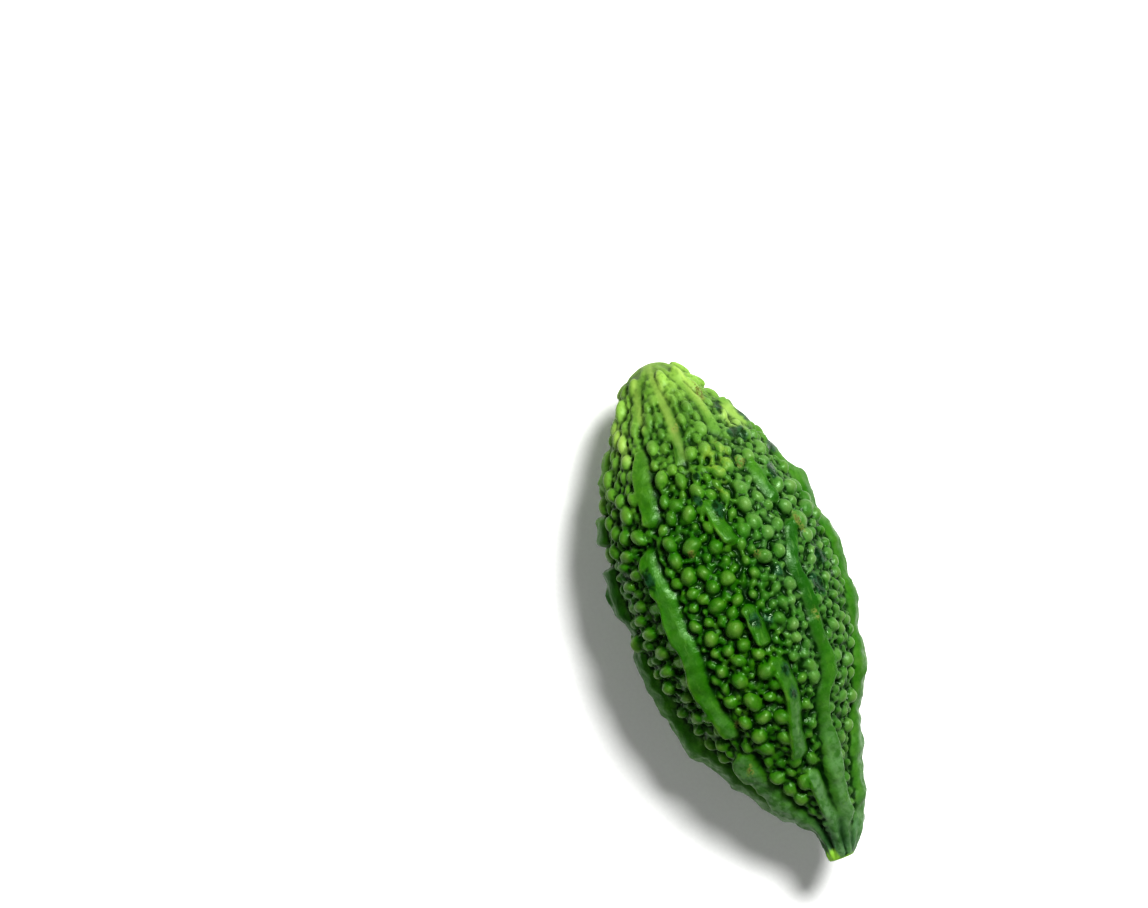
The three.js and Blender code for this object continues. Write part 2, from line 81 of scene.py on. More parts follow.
# Each ridge's course is [distance, degrees from the top], its gaps are [from, to], its bulk is
# [distance, share of the height, share of the width], and lean is how far its crest hangs to the
# +Y side for its height.
PLAIN = [(0, 1, 1), (LENGTH, 1, 1)]
RIDGES = [
    {
        "course": [(0, -84), (50, -85), (100, -83), (150, -88)],
        "gaps": [(14, 18), (31, 35), (46, 49)],
        "bulk": [
            (0, 1, 1), (62, 1, 1), (71, 0.55, 0.8), (79, 1, 1), (97, 1.15, 1.1), (106, 1.3, 1.2),
            (116, 1.05, 1.1), (128, 1.2, 1.2), (136, 0.8, 1), (142, 0.2, 0.8), (150, 0.2, 0.8),
        ],
        "lean": -0.2,
    },
    {
        "course": [
            (0, -20), (10, -29), (22, -31), (33, -31), (42, -31), (52, -37), (65, -36),
            (85, -35), (100, -37), (108, -38), (115, -45), (130, -51), (150, -56),
        ],
        "gaps": [(17, 21), (45, 48), (107.5, 109.5)],
        "bulk": [
            (0, 0.8, 1), (20, 0.7, 0.85), (34, 0.7, 1.05), (42, 0.7, 0.7), (48, 0.75, 0.7),
            (65, 0.9, 0.75), (88, 0.9, 0.7), (104, 0.75, 0.6), (114, 0.9, 1.1), (122, 0.85, 1),
            (130, 0.95, 1.4), (137, 0.9, 1.3), (142, 0.6, 1), (150, 0.5, 1),
        ],
        "lean": -0.5,
    },
    {
        "course": [
            (0, 0), (10, 3), (25, 1), (36, 2), (44, 7), (54, 8), (66, 5), (80, 6), (90, 10),
            (104, 12), (112, 10), (117, 6), (125, 9), (135, 2), (150, 6),
        ],
        "gaps": [(31, 40), (57, 71), (86, 87), (119, 120.5)],
        "bulk": [
            (0, 0.7, 0.9), (16, 0.55, 0.85), (28, 0.4, 0.75), (36, 0.5, 0.65), (48, 0.75, 0.7),
            (84, 0.85, 0.7), (100, 0.9, 0.75), (112, 0.8, 0.7), (117, 0.8, 0.85), (124, 0.75, 0.7),
            (132, 0.8, 0.8), (140, 0.9, 1.1), (150, 1, 1),
        ],
        "lean": -0.3,
    },
    {
        "course": [
            (0, 26), (8, 40), (16, 40), (26, 36), (37, 41), (48, 43), (56, 45), (67, 38), (81, 38),
            (98, 42), (104, 37), (112, 33), (120, 32), (128, 28), (134, 25), (141, 30), (150, 42),
        ],
        "gaps": [(27, 34), (50, 53)],
        "bulk": [
            (0, 0.8, 0.9), (14, 0.6, 1), (26, 0.45, 0.9), (40, 0.6, 0.8), (58, 0.42, 0.75),
            (90, 0.42, 0.75), (98, 0.6, 0.9), (105, 0.4, 0.7), (110, 0.45, 0.7), (119, 0.9, 0.9),
            (128, 0.95, 0.95), (136, 1, 1.2), (150, 1, 1),
        ],
        "lean": 0.15,
    },
    {
        "course": [(0, 70), (20, 68), (40, 84), (60, 87), (100, 85), (150, 84)],
        "gaps": [(10, 15), (28, 31)],
        "bulk": [
            (0, 1, 1), (16, 1.1, 1.3), (30, 0.9, 1), (38, 0.6, 0.9), (47, 1, 1.1), (56, 0.6, 0.9),
            (65, 1.05, 1.1), (74, 0.75, 0.9), (80, 1.1, 1.1), (90, 0.7, 1), (97, 1.25, 1.2),
            (104, 0.9, 1), (120, 1.05, 1.1), (132, 1.25, 1.5), (137, 1.45, 1.8), (142, 2.3, 2),
            (146, 2.6, 1.9), (150, 1, 1),
        ],
        "lean": 0.2,
    },
    {
        "course": [(0, 124), (50, 122), (100, 125), (150, 124)],
        "gaps": [(15, 22), (41, 46), (66, 73), (99, 101)],
        "bulk": PLAIN,
        "lean": 0.1,
    },
    {
        "course": [(0, 160), (50, 161), (100, 159), (150, 162)],
        "gaps": [(18, 23), (37, 41), (92, 95)],
        "bulk": PLAIN,
        "lean": 0.1,
    },
    {
        "course": [(0, 198), (50, 199), (100, 198), (150, 200)],
        "gaps": [(13, 18), (34, 38), (96, 98)],
        "bulk": PLAIN,
        "lean": -0.1,
    },
    {
        "course": [(0, 236), (50, 237), (100, 238), (150, 236)],
        "gaps": [(19, 24), (52, 56), (86, 90)],
        "bulk": PLAIN,
        "lean": -0.1,
    },
]
WAX = [0.1, 0.75, 0.9, 0.05, 0.3, 0.5, 0.5, 0.5, 0.5]  # how pale each ridge is
GAP_EDGE = 2.8  # over which a ridge falls away at a gap
GAP_PRESENCE = 0.12  # how much of a ridge is left inside a gap
CREST_WAVES = [(0.06, 2.3, 1.7), (0.03, 1.1, 2.9)]  # share of the height, length / 2 pi, shift
SWAY_WAVES = [(1, 6.1, 2.3), (1, 3.2, 1.1)]  # degrees, length / 2 pi, shift
SIDE_WAVES = [(0.03, 1.3, 5, 0), (0.04, 0.61, 3, 1)]  # share of the width, length / 2 pi, shift, twist
LEAST_HALF_WIDTH = 0.3
HANGING_SIDE = (7, 0.42)  # how flat the crest is and how steep the side that it hangs over
OTHER_SIDE = (3, 0.75)
OTHER_SLOPE = 0.42  # how much lower the crest is at its other side
MIDDLE_SLOPE = 0.3  # share of that in the crest's middle

# Warts: how many are tried, and the least and greatest radius
WART_KINDS = [(1400, 1.8, 2.3), (4200, 1.4, 1.7), (5600, 1.05, 1.3)]
FINE_WART_KINDS = [(9000, 0.85, 1.1), (14000, 0.6, 0.78), (18000, 0.4, 0.52)]
LEAST_WART = 0.9  # radius of the smallest of the first kinds
WART_ROOM = 1  # distance between two warts over the sum of their radii
FINE_WART_ROOM = 0.84  # the same for the fine kinds
FINE_WART = 0.9  # radius under which a wart stands taller
FINE_WART_TALL = 1.4  # by this much
MOST_GROWTH = 1.15  # a wart grows till it meets its neighbour, up to this many times
WART_COLUMNS = ("x", "phi", "radius", "tall", "room", "lengthening")
WART_ENDS = (4.5, 141)
WART_HEIGHT = (1.35, 1.85)  # over its radius
LEAST_RIDGE_ROOM = 0.6  # of a wart's radius, from its centre to a ridge's side
SLIM_BODY = 3.2  # warts are lower where the body's radius is less than this many of theirs
TIP_RISE = (5, 13)  # and near the blossom end, as (x + first) / second
BEAD_SINK = 0.35  # height of a wart's centre over its own height
BEAD_SWELL = 1.08  # how much wider a bead is than the place kept for it
SMALL_FIELD = {"from": 8, "to": 84, "start": 62, "scale": 0.76}  # degrees, distance, and size

# How a bead strays from an upright even ball: its tilt and turn in radians, the rest as shares
BEAD_TILT = 0.17
BEAD_TURN = 0.6
TURN_STARTS = (20, 50)  # from no turn to the full turn
BEAD_LENGTH = (0.92, 1.2)
BEAD_WIDTH = (0.86, 1.02)
BEAD_TAPER = (-0.05, 0.22)

# Beads of this valley are fingers that point to the -Y side: [from, to] in distance and degrees
FINGERS = {"along": (48, 102), "degrees": (-76, -42), "wide": 1.45, "narrow": 0.85, "lean": 0.5}

# Lumps under the beads: squeeze lengthwise, size, share of a ridge's height, and height elsewhere
LUMP_KINDS = [(1, 4.5, 0.12, 0.25), (1, 1.6, 0, 0.18), (0.4, 1.1, 0.1, 0)]
LUMP_SHIFT = (7.3, 3.1, 5.7)  # from the lumps of one kind to those of the next
CUT_EDGE = 1.5  # over which all relief ends before the cut
FIBRES = {"from": 134, "full": 142, "height": 0.34, "number": 14}  # round the stem
FIBRE_WAVE = (0.8, 2)  # radians, length / 2 pi

# Lumps of the finished skin
UNEVENNESS = [(2.8, 0.22), (1.2, 0.06)]  # size of the lumps, and how far they move the skin
EVEN_TIP = (20, 55, 0.6)  # the skin is more even near the blossom end: from, to, and share left
EVEN_CUT = 3  # over which the lumps end before the cut
BRUISE_RISE = 0.35  # of a bruise's dome over the mean level of the skin around it

# Fineness of the mesh
MERIDIAN_STEPS = 1500
RINGS = 400
RING_SIDES = 420
LARGE_BEAD = 1.3  # beads over this radius are made of smaller faces
LARGE_BEAD_FINENESS = 3
SMALL_BEAD_FINENESS = 2
VOXEL = 0.38  # size of the cubes in which body and beads run together
MOST_TRIANGLES = 197000

# Rounds in which each vertex moves towards its neighbours' mean
SOFTENING_ROUNDS = 2
BRUISE_ROUNDS = 30
CAVITY_ROUNDS = 22
CREASE_ROUNDS = 5
MARK_ROUNDS = 3
WAX_ROUNDS = 2
PLACE_ROUNDS = 4  # in which the place of a point on the body is found
END_MARGINS = (0.05, 0.01)  # kept from the blossom end and the cut meanwhile

# Marks on the skin, as seen from above: distance from the blossom end, distance to the +Y side of
# the line from end to end, half length, half width, and turn in degrees
BRUISES = [
    (45, 2, 2.6, 1.4, 10), (67, 24.5, 2.2, 1.2, 10), (74, 21, 2.9, 1.3, 8), (78, 4.4, 2, 1.3, 0),
    (77.2, 0.6, 1.8, 1.5, 20), (66.4, 11.5, 1.8, 1.3, 30), (27, 15.8, 1.8, 1.3, 20),
    (26, 13.8, 1.4, 1.8, 0), (18, 12.3, 1.9, 0.9, 0), (33.5, 22.6, 1.9, 1.1, 0), (40, 20, 2.1, 1, 5),
    (57, -23, 3.1, 1.2, 4), (21.5, 18.2, 3.2, 1, 25), (93, 4.2, 1.9, 1.1, 0), (100, 4, 1.7, 1, 0),
    (34.3, -0.6, 1.1, 1, 0), (40.5, -2.6, 1.6, 1, 20),
]
SCABS = [
    (19.6, -1.5, 1.3, 0.9, -20), (12, 8.6, 2.6, 0.8, 8), (34.5, 12.2, 1.4, 1.2, 0),
    (56, 22, 3.2, 0.7, 12), (60, 7.8, 1, 1, 0), (54, -9.4, 1.1, 0.8, 0),
    (103, -13.6, 0.9, 0.7, 0), (81.9, 17.6, 1.6, 0.7, 0), (117, -14.5, 1.5, 0.7, -20),
]
YELLOW_PATCHES = [(31, 6.4, 4.2, 3.4, -20), (39.5, 5.5, 1.8, 1.8, 0)]
PALE_STRIPES = [
    (14, -2, 17, 1.2, 0), (9, -8.6, 7, 0.9, -10), (11, 7, 8, 0.8, 13), (19, -17, 5, 1.6, 0),
    (22, 15, 4.5, 2.4, 25), (128, 7.6, 15, 0.5, -4), (126, 2.6, 9, 0.35, 12),
]
CUT_RIM = [(149, -0.8, 2, 1.5, 0)]
MARK_WAVES = [(0.12, 1.7, 1.1), (0.07, 0, 3.1)]  # share of the size, turns with x and y
MARK_EDGE = (1.3, 0.95)  # where a mark begins and where it is full, as shares of its half size
MARKED_DEPTH = 6  # marks end this far under the axis
CUT_FACE = 0.3  # what is nearer to the cut than this counts as a wart's flank, not as a crevice
CUT_FACE_HEIGHT = 0.5
CUT_COLOUR = (0.5, 0.15)  # from where to where the cut's colour sets in before the cut
STEM_WAX = 0.7  # how waxy the ridges grow near the stem
STEM_WAX_STARTS = (92, 116)
CROWN = 0.7  # share of a wart's height at which the skin's nearest wart is looked for
MIDDLE_TONE = 0.5  # of what is no wart

# Colours, in bytes

# The green by share of the length, pale at the blossom end and dull near the stem
GREENS = [
    (0, (152, 188, 88)), (0.07, (136, 174, 80)), (0.14, (112, 154, 66)), (0.24, (72, 122, 30)),
    (0.36, (48, 108, 4)), (0.55, (47, 106, 0)), (0.74, (52, 106, 6)), (0.88, (62, 110, 32)),
    (0.97, (98, 130, 98)),
]
# What changes the green: its source, where it starts, where it is full, its strength and its colour
GREEN_CHANGES = [
    ("mottle", 0.4, 0.68, 0.2, (96, 138, 34)),
    ("specks", 0.5, 0.34, 0.28, (22, 70, 8)),
    ("broad", 0.42, 0.68, 0.5, (34, 92, 4)),
    ("tone", 0.55, 1, 0.25, (106, 138, 52)),
    ("tone", 0.4, 0, 0.27, (22, 78, 8)),
]
# Partly waxy bloom and partly painted highlight: on the wart tops, and on the +Y shoulder that faces
# the key light
WART_BLOOM_AND_HIGHLIGHT = (110, 136, 72)
SHOULDER_BLOOM_AND_HIGHLIGHT = (104, 136, 88)
RIDGE_WAX = (54, 98, 28)
TIP_WAX = (58, 104, 24)
GREY_WAX = (98, 130, 90)
WORN_WAX = (38, 88, 10)
BARE_RIDGE = (28, 82, 10)
RIDGE_STREAK = (100, 142, 66)
PALE_TIP = (170, 194, 102)
PALE_STEM = (112, 146, 98)
YELLOW = (130, 154, 60)
# Painted shade: laid in the low places between the warts, in the crevices and in the fine creases
SHADE_BETWEEN_WARTS = (2, 48, 0)
CREVICE_SHADE = (0, 30, 0)
CREASE_SHADE = (2, 38, 0)
CUT_FLESH = (132, 176, 66)
WET_BRUISE = (8, 38, 14)
# Partly the bruises' own paler tone and partly painted sheen
BRUISE_TONE_AND_SHEEN = (34, 74, 46)
DRY_SCAB = (126, 132, 70)
BROWN_SCAB = (70, 66, 34)
FLOOR_COLOURS = ((246, 246, 245), (249, 249, 248))

# Grain of the colours and of the finest relief: lumps per metre, and fineness
GRAINS = {
    "broad": (60, 2), "mottle": (300, 3), "medium": (480, 3), "specks": (850, 3),
    "crust": (1500, 2), "fine": (2000, 2),
}
STREAK_GRAIN = (900, 2)
STREAK_SQUEEZE = (0.2, 1, 1)
FLOOR_GRAIN = (900, 3)

# What the skin's mesh tells its material at each vertex
SKIN_NUMBERS = (
    "along", "height", "ridge", "wax", "cavity", "crease", "bruise", "scab", "yellow", "pale",
    "cut", "tone",
)

# Where the photograph shows the fruit, in its 1148 by 908 frame
PICTURE = (1148, 908)
TIP_PIXEL = (655, 362)
CUT_PIXEL = (838, 860)

# Camera and lights: each light's name, its place and size in metres, and its power in watts
LENS = 180  # focal length in mm
SENSOR = 36  # width in mm
LIGHTS = [("key", 0.3, 0.42, 0.88, 0.36, 13), ("fill", -0.45, -0.35, 0.95, 0.7, 2.2)]
SURROUNDING = 0.09  # brightness
FLOOR_HALF = 3  # in metres


def smooth_curve(stations):
    """A smooth curve through stations [x, value]."""
    xs, values = np.array(stations, float).T
    slopes = np.gradient(values, xs)
    last = len(xs) - 1
    for i in range(len(xs)):
        low, high = max(i - 1, 0), min(i + 1, last)
        slopes[i] = (values[high] - values[low]) / (xs[high] - xs[low])

    def value(x):
        i = np.minimum(np.searchsorted(xs[1:], x, side="left"), last - 1)
        span = xs[i + 1] - xs[i]
        t = np.clip((x - xs[i]) / span, 0, 1)
        rise = 1 - t
        return (
            values[i] * rise * rise * (1 + 2 * t)
            + values[i + 1] * t * t * (3 - 2 * t)
            + span * (slopes[i] * t * rise * rise - slopes[i + 1] * t * t * rise)
        )

    return value


body_radius = smooth_curve(BODY_RADIUS)
side_bend = smooth_curve(SIDE_BEND)
sag = smooth_curve(SAG)
ridge_height = smooth_curve(RIDGE_HEIGHT)
ridge_half_width = smooth_curve(RIDGE_HALF_WIDTH)
wart_lengthening = smooth_curve(WART_LENGTHENING)
wart_size = smooth_curve(WART_SIZE)
ridge_courses = [smooth_curve(ridge["course"]) for ridge in RIDGES]
height_shares = [smooth_curve([(x, share) for x, share, _ in ridge["bulk"]]) for ridge in RIDGES]
width_shares = [smooth_curve([(x, share) for x, _, share in ridge["bulk"]]) for ridge in RIDGES]


def sample_meridian():
    """The side outline from the blossom end over the stem to the middle of the cut: x and radius."""
    steps = np.arange(MERIDIAN_STEPS + 1) / MERIDIAN_STEPS
    turn = steps * math.pi / 2
    cap_x = CAP * (1 - np.cos(turn))
    side_x = CAP + (LENGTH - CAP) * steps[1:]
    x = np.concatenate([cap_x, side_x, np.full(MERIDIAN_STEPS, LENGTH)])
    radius = np.concatenate([
        body_radius(cap_x) * np.sin(turn), body_radius(side_x), STEM_RADIUS * (1 - steps[1:]),
    ])
    return x, radius


meridian_x, meridian_radius = sample_meridian()
RIM = 2 * MERIDIAN_STEPS  # where the cut's edge stands in it


def body_at(x, phi):
    """The smooth body's point there, its outward normal, and its directions lengthwise and round."""
    low = np.clip(np.searchsorted(meridian_x[: RIM + 1], x, side="right") - 1, 0, RIM - 1)
    step_x = meridian_x[low + 1] - meridian_x[low]
    step_radius = meridian_radius[low + 1] - meridian_radius[low]
    step = np.hypot(step_x, step_radius)
    radius = meridian_radius[low] + step_radius * (x - meridian_x[low]) / step_x
    return body_on(x, radius, step_x / step, step_radius / step, phi)


def body_on(x, radius, slope_x, slope_radius, phi):
    """The same, where the outline's radius and slope are known."""
    sin, cos = np.sin(phi), np.cos(phi)
    nudge = 0.5
    bend_slope = (side_bend(x + nudge) - side_bend(x - nudge)) / (2 * nudge)
    sag_slope = (sag(x + nudge) - sag(x - nudge)) / (2 * nudge)
    point = np.stack(
        [
            x - LENGTH / 2 + 0 * phi,
            side_bend(x) + SIDE_SHIFT + radius * sin,
            AXIS_HEIGHT - sag(x) + FLATNESS * radius * cos,
        ],
        axis=-1,
    )
    lengthwise = unit(np.stack(
        [
            slope_x + 0 * phi,
            bend_slope * slope_x + slope_radius * sin,
            -sag_slope * slope_x + FLATNESS * slope_radius * cos,
        ],
        axis=-1,
    ))
    round_way = unit(np.stack([0 * phi, cos + 0 * x, -FLATNESS * sin], axis=-1))
    normal = unit(np.cross(lengthwise, round_way))
    return {
        "point": point, "normal": normal, "lengthwise": lengthwise, "round": round_way,
        "radius": radius,
    }


def unit(vectors):
    return vectors / np.linalg.norm(vectors, axis=-1, keepdims=True)


def smoothstep(low, high, value):
    t = np.clip((value - low) / (high - low), 0, 1)
    return t * t * (3 - 2 * t)


def ridge_presence(index, x):
    """How much of a ridge stands at distance x: 1, falling inside its gaps."""
    presence = np.ones_like(x)
    for start, end in RIDGES[index]["gaps"]:
        outside = np.maximum(np.maximum(start - x, x - end), 0) / GAP_EDGE
        presence = np.minimum(presence, GAP_PRESENCE + (1 - GAP_PRESENCE) * smoothstep(0, 1, outside))
    return presence


def sum_waves(waves, index, x):
    return sum(size * np.sin(x / length + ahead * index) for size, length, ahead in waves)


def crest_height(index, x):
    height = ridge_height(x) * height_shares[index](x) * ridge_presence(index, x)
    return height * (1 + sum_waves(CREST_WAVES, index, x))


def crest_half_width(index, x):
    return ridge_half_width(x) * width_shares[index](x) * ridge_presence(index, x)


def crest_angle(index, x):
    return np.radians(ridge_courses[index](x) + sum_waves(SWAY_WAVES, index, x))


def from_crest(index, x, phi, radius):
    """Distance round the body from a ridge's crest, towards +phi."""
    turn = phi - crest_angle(index, x)
    return np.arctan2(np.sin(turn), np.cos(turn)) * radius


def room_to_ridges(x, phi, radius):
    """Distance round the body to the nearest ridge's side, below 0 on the ridge."""
    return np.min(
        [
            np.abs(from_crest(i, x, phi, radius)) - crest_half_width(i, x)
            for i in range(len(RIDGES))
        ],
        axis=0,
    )


def seeded_draws(seed):
    """Evenly spread numbers from 0 to 1 that are the same in every run."""
    low_bits = 0xFFFFFFFF
    stride = 0x6D2B79F5
    state = seed & low_bits
    while True:
        state = (state + stride) & low_bits
        mixed = ((state ^ (state >> 15)) * (state | 1)) & low_bits
        mixed ^= (mixed + ((mixed ^ (mixed >> 7)) * (mixed | 61))) & low_bits
        yield (mixed ^ (mixed >> 14)) / (low_bits + 1)


def draw_kind(draws, tries, least, most):
    """Draws one kind of warts: where each might stand, its radius, and its height over its radius."""
    first, last = WART_ENDS
    drawn = np.array([next(draws) for _ in range(4 * tries)]).reshape(tries, 4)
    x = first + (last - first) * drawn[:, 0]
    phi = 2 * math.pi * drawn[:, 1] - math.pi
    size = least + (most - least) * drawn[:, 2]
    tall = WART_HEIGHT[0] + (WART_HEIGHT[1] - WART_HEIGHT[0]) * drawn[:, 3]
    degrees = np.degrees(phi)
    small = (degrees > SMALL_FIELD["from"]) & (degrees < SMALL_FIELD["to"])
    small &= x > SMALL_FIELD["start"]
    radius = size * wart_size(x) * np.where(small, SMALL_FIELD["scale"], 1)
    return x, phi, radius, tall


def place_warts():
    """Places the warts largest first, each kind into the room that is left. Returns columns."""
    draws = seeded_draws(SEED)
    warts = {key: np.zeros(0) for key in WART_COLUMNS}
    most_warts = sum(tries for tries, _, _ in WART_KINDS + FINE_WART_KINDS)
    points = np.zeros((most_warts, 3))
    radii = np.zeros(most_warts)
    count = 0
    for number, kind in enumerate(WART_KINDS + FINE_WART_KINDS):
        if number == len(WART_KINDS):
            grow_warts(warts, points[:count])
            radii[:count] = warts["radius"]
        x, phi, radius, tall = draw_kind(draws, *kind)
        body = body_at(x, phi)
        room = room_to_ridges(x, phi, body["radius"])
        lengthening = wart_lengthening(x)
        fine = number >= len(WART_KINDS)
        room_share = FINE_WART_ROOM if fine else WART_ROOM
        large = (radius >= LEAST_WART) | fine
        kept = []
        for i in np.flatnonzero(large & (room >= LEAST_RIDGE_ROOM * radius)):
            apart = wart_distance(body, i, points[:count], lengthening[i])
            if np.any(apart < room_share * (radius[i] + radii[:count])):
                continue
            points[count] = body["point"][i]
            radii[count] = radius[i]
            count += 1
            kept.append(i)
        columns = (x, phi, radius, tall, room, lengthening)
        warts = {key: np.concatenate([warts[key], c[kept]]) for key, c in zip(WART_COLUMNS, columns)}
    slim = body_at(warts["x"], warts["phi"])["radius"] / (SLIM_BODY * warts["radius"])
    taper = np.minimum(np.minimum(1, slim), (warts["x"] + TIP_RISE[0]) / TIP_RISE[1])
    fine = warts["radius"] < FINE_WART
    warts["height"] = warts["radius"] * warts["tall"] * taper * np.where(fine, FINE_WART_TALL, 1)
    return warts


def wart_distance(body, i, points, lengthening):
    """Distances from one body point to others in which warts are round."""
    gap = points - body["point"][i]
    along = gap @ body["lengthwise"][i]
    across_squared = np.maximum(np.sum(gap * gap, axis=1) - along * along, 0)
    return np.hypot(along / lengthening, np.sqrt(across_squared))


def grow_warts(warts, points):
    """Lets every wart grow till it meets a neighbour or a ridge."""
    body = body_at(warts["x"], warts["phi"])
    free = warts["room"] / (LEAST_RIDGE_ROOM * warts["radius"])
    for i in range(len(points)):
        apart = wart_distance(body, i, points, warts["lengthening"][i])
        apart /= warts["radius"][i] + warts["radius"]
        apart[i] = MOST_GROWTH
        free[i] = min(free[i], apart.min())
    warts["radius"] = warts["radius"] * np.clip(free, 1, MOST_GROWTH)


def lumps(points, size, seed):
    """Smooth random numbers from -1 to 1 at points, in lumps of about that size."""
    shift = Vector([seed * step for step in LUMP_SHIFT])
    return np.array([noise.noise(Vector(p) / size + shift) for p in points])


def ridge_field(x, phi, radius):
    """Height over the body that the ridges give, how far their crests push it round, their wax, and
    how much of a ridge a place is, from 0 to 1."""
    height = np.zeros_like(x)
    push = np.zeros_like(x)
    wax = np.zeros_like(x)
    cover = np.zeros_like(x)
    for index, ridge in enumerate(RIDGES):
        ragged = 1
        for share, length, ahead, twist in SIDE_WAVES:
            ragged = ragged + share * np.sin(x / length + ahead * index + twist * phi)
        half_width = np.maximum(crest_half_width(index, x) * ragged, LEAST_HALF_WIDTH)
        across = from_crest(index, x, phi, radius) / half_width
        over = across * math.copysign(1, ridge["lean"])
        hanging = over > 0
        squareness = np.where(hanging, HANGING_SIDE[0], OTHER_SIDE[0])
        fall = np.where(hanging, HANGING_SIDE[1], OTHER_SIDE[1])
        profile = np.maximum(1 - np.abs(across) ** squareness, 0) ** fall
        profile *= 1 - OTHER_SLOPE * np.clip(MIDDLE_SLOPE - (1 - MIDDLE_SLOPE) * over, 0, 1)
        here = crest_height(index, x) * profile
        push = np.where(here > height, ridge["lean"] * here, push)
        wax = np.where(here > height, WAX[index], wax)
        cover = np.where(here > height, profile * ridge_presence(index, x), cover)
        height = np.maximum(height, here)
    return height, push, wax, cover


def new_mesh(name, points, faces):
    """A mesh from arrays of points and of faces that all have as many corners."""
    mesh = bpy.data.meshes.new(name)
    corners = faces.shape[1]
    mesh.vertices.add(len(points))
    mesh.vertices.foreach_set("co", points.astype(np.float32).ravel())
    mesh.loops.add(faces.size)
    mesh.loops.foreach_set("vertex_index", faces.astype(np.int32).ravel())
    mesh.polygons.add(len(faces))
    mesh.polygons.foreach_set("loop_start", np.arange(0, faces.size, corners, dtype=np.int32))
    mesh.update(calc_edges=True)
    return mesh


def body_shell():
    """The smooth body with its ridges as a closed grid of triangles."""
    along = np.concatenate([[0], np.cumsum(np.hypot(np.diff(meridian_x), np.diff(meridian_radius)))])
    stops = np.linspace(0, along[-1], RINGS + 2)[1:-1]
    x = np.interp(stops, along, meridian_x)[:, None]
    radius = np.interp(stops, along, meridian_radius)[:, None]
    nudge = 0.05
    ahead, behind = stops + nudge, stops - nudge
    slope_x = np.interp(ahead, along, meridian_x) - np.interp(behind, along, meridian_x)
    slope_radius = np.interp(ahead, along, meridian_radius) - np.interp(behind, along, meridian_radius)
    phi = (np.arange(RING_SIDES) * 2 * math.pi / RING_SIDES)[None, :]
    slope_x = slope_x[:, None] + 0 * phi
    slope_radius = slope_radius[:, None] + 0 * phi
    x = x + 0 * phi
    radius = radius + 0 * phi
    phi = phi + 0 * x
    body = body_on(x, radius, slope_x, slope_radius, phi)
    height, push, _, _ = ridge_field(x, phi, radius)
    off_cut = smoothstep(0, CUT_EDGE, LENGTH - x)
    swelling, relief = 1, 0
    for number, (squeeze, size, share, most) in enumerate(LUMP_KINDS, 1):
        lump = lumps(body["point"].reshape(-1, 3) * [squeeze, 1, 1], size, number).reshape(x.shape)
        swelling = swelling + share * lump
        relief = relief + most * lump
    height = height * swelling + off_cut * relief
    wave = FIBRE_WAVE[0] * np.sin(x / FIBRE_WAVE[1])
    fibres = smoothstep(FIBRES["from"], FIBRES["full"], x) * off_cut * FIBRES["height"]
    fibres = fibres * np.sin(FIBRES["number"] * phi + wave)
    points = body["point"] + body["round"] * push[..., None]
    points += body["normal"] * (height * off_cut + fibres)[..., None]
    start = np.array([[-LENGTH / 2, side_bend(0) + SIDE_SHIFT, AXIS_HEIGHT - sag(0)]])
    end = np.array([[LENGTH / 2, side_bend(LENGTH) + SIDE_SHIFT, AXIS_HEIGHT - sag(LENGTH)]])
    points = np.concatenate([points.reshape(-1, 3), start, end])
    ring = np.arange(RING_SIDES)
    following = (ring + 1) % RING_SIDES
    faces = []
    for i in range(RINGS - 1):
        a, b = i * RING_SIDES, (i + 1) * RING_SIDES
        faces.append(np.stack([a + ring, b + ring, b + following], axis=1))
        faces.append(np.stack([a + ring, b + following, a + following], axis=1))
    tip, cut = len(points) - 2, len(points) - 1
    last = (RINGS - 1) * RING_SIDES
    faces.append(np.stack([0 * ring + tip, ring, following], axis=1))
    faces.append(np.stack([0 * ring + cut, last + following, last + ring], axis=1))
    return points, np.concatenate(faces)


def unit_ball(subdivisions):
    """The points and triangles of a ball of radius 1."""
    ball = bmesh.new()
    bmesh.ops.create_icosphere(ball, subdivisions=subdivisions, radius=1)
    points = np.array([v.co for v in ball.verts])
    faces = np.array([[v.index for v in f.verts] for f in ball.faces])
    ball.free()
    return points, faces


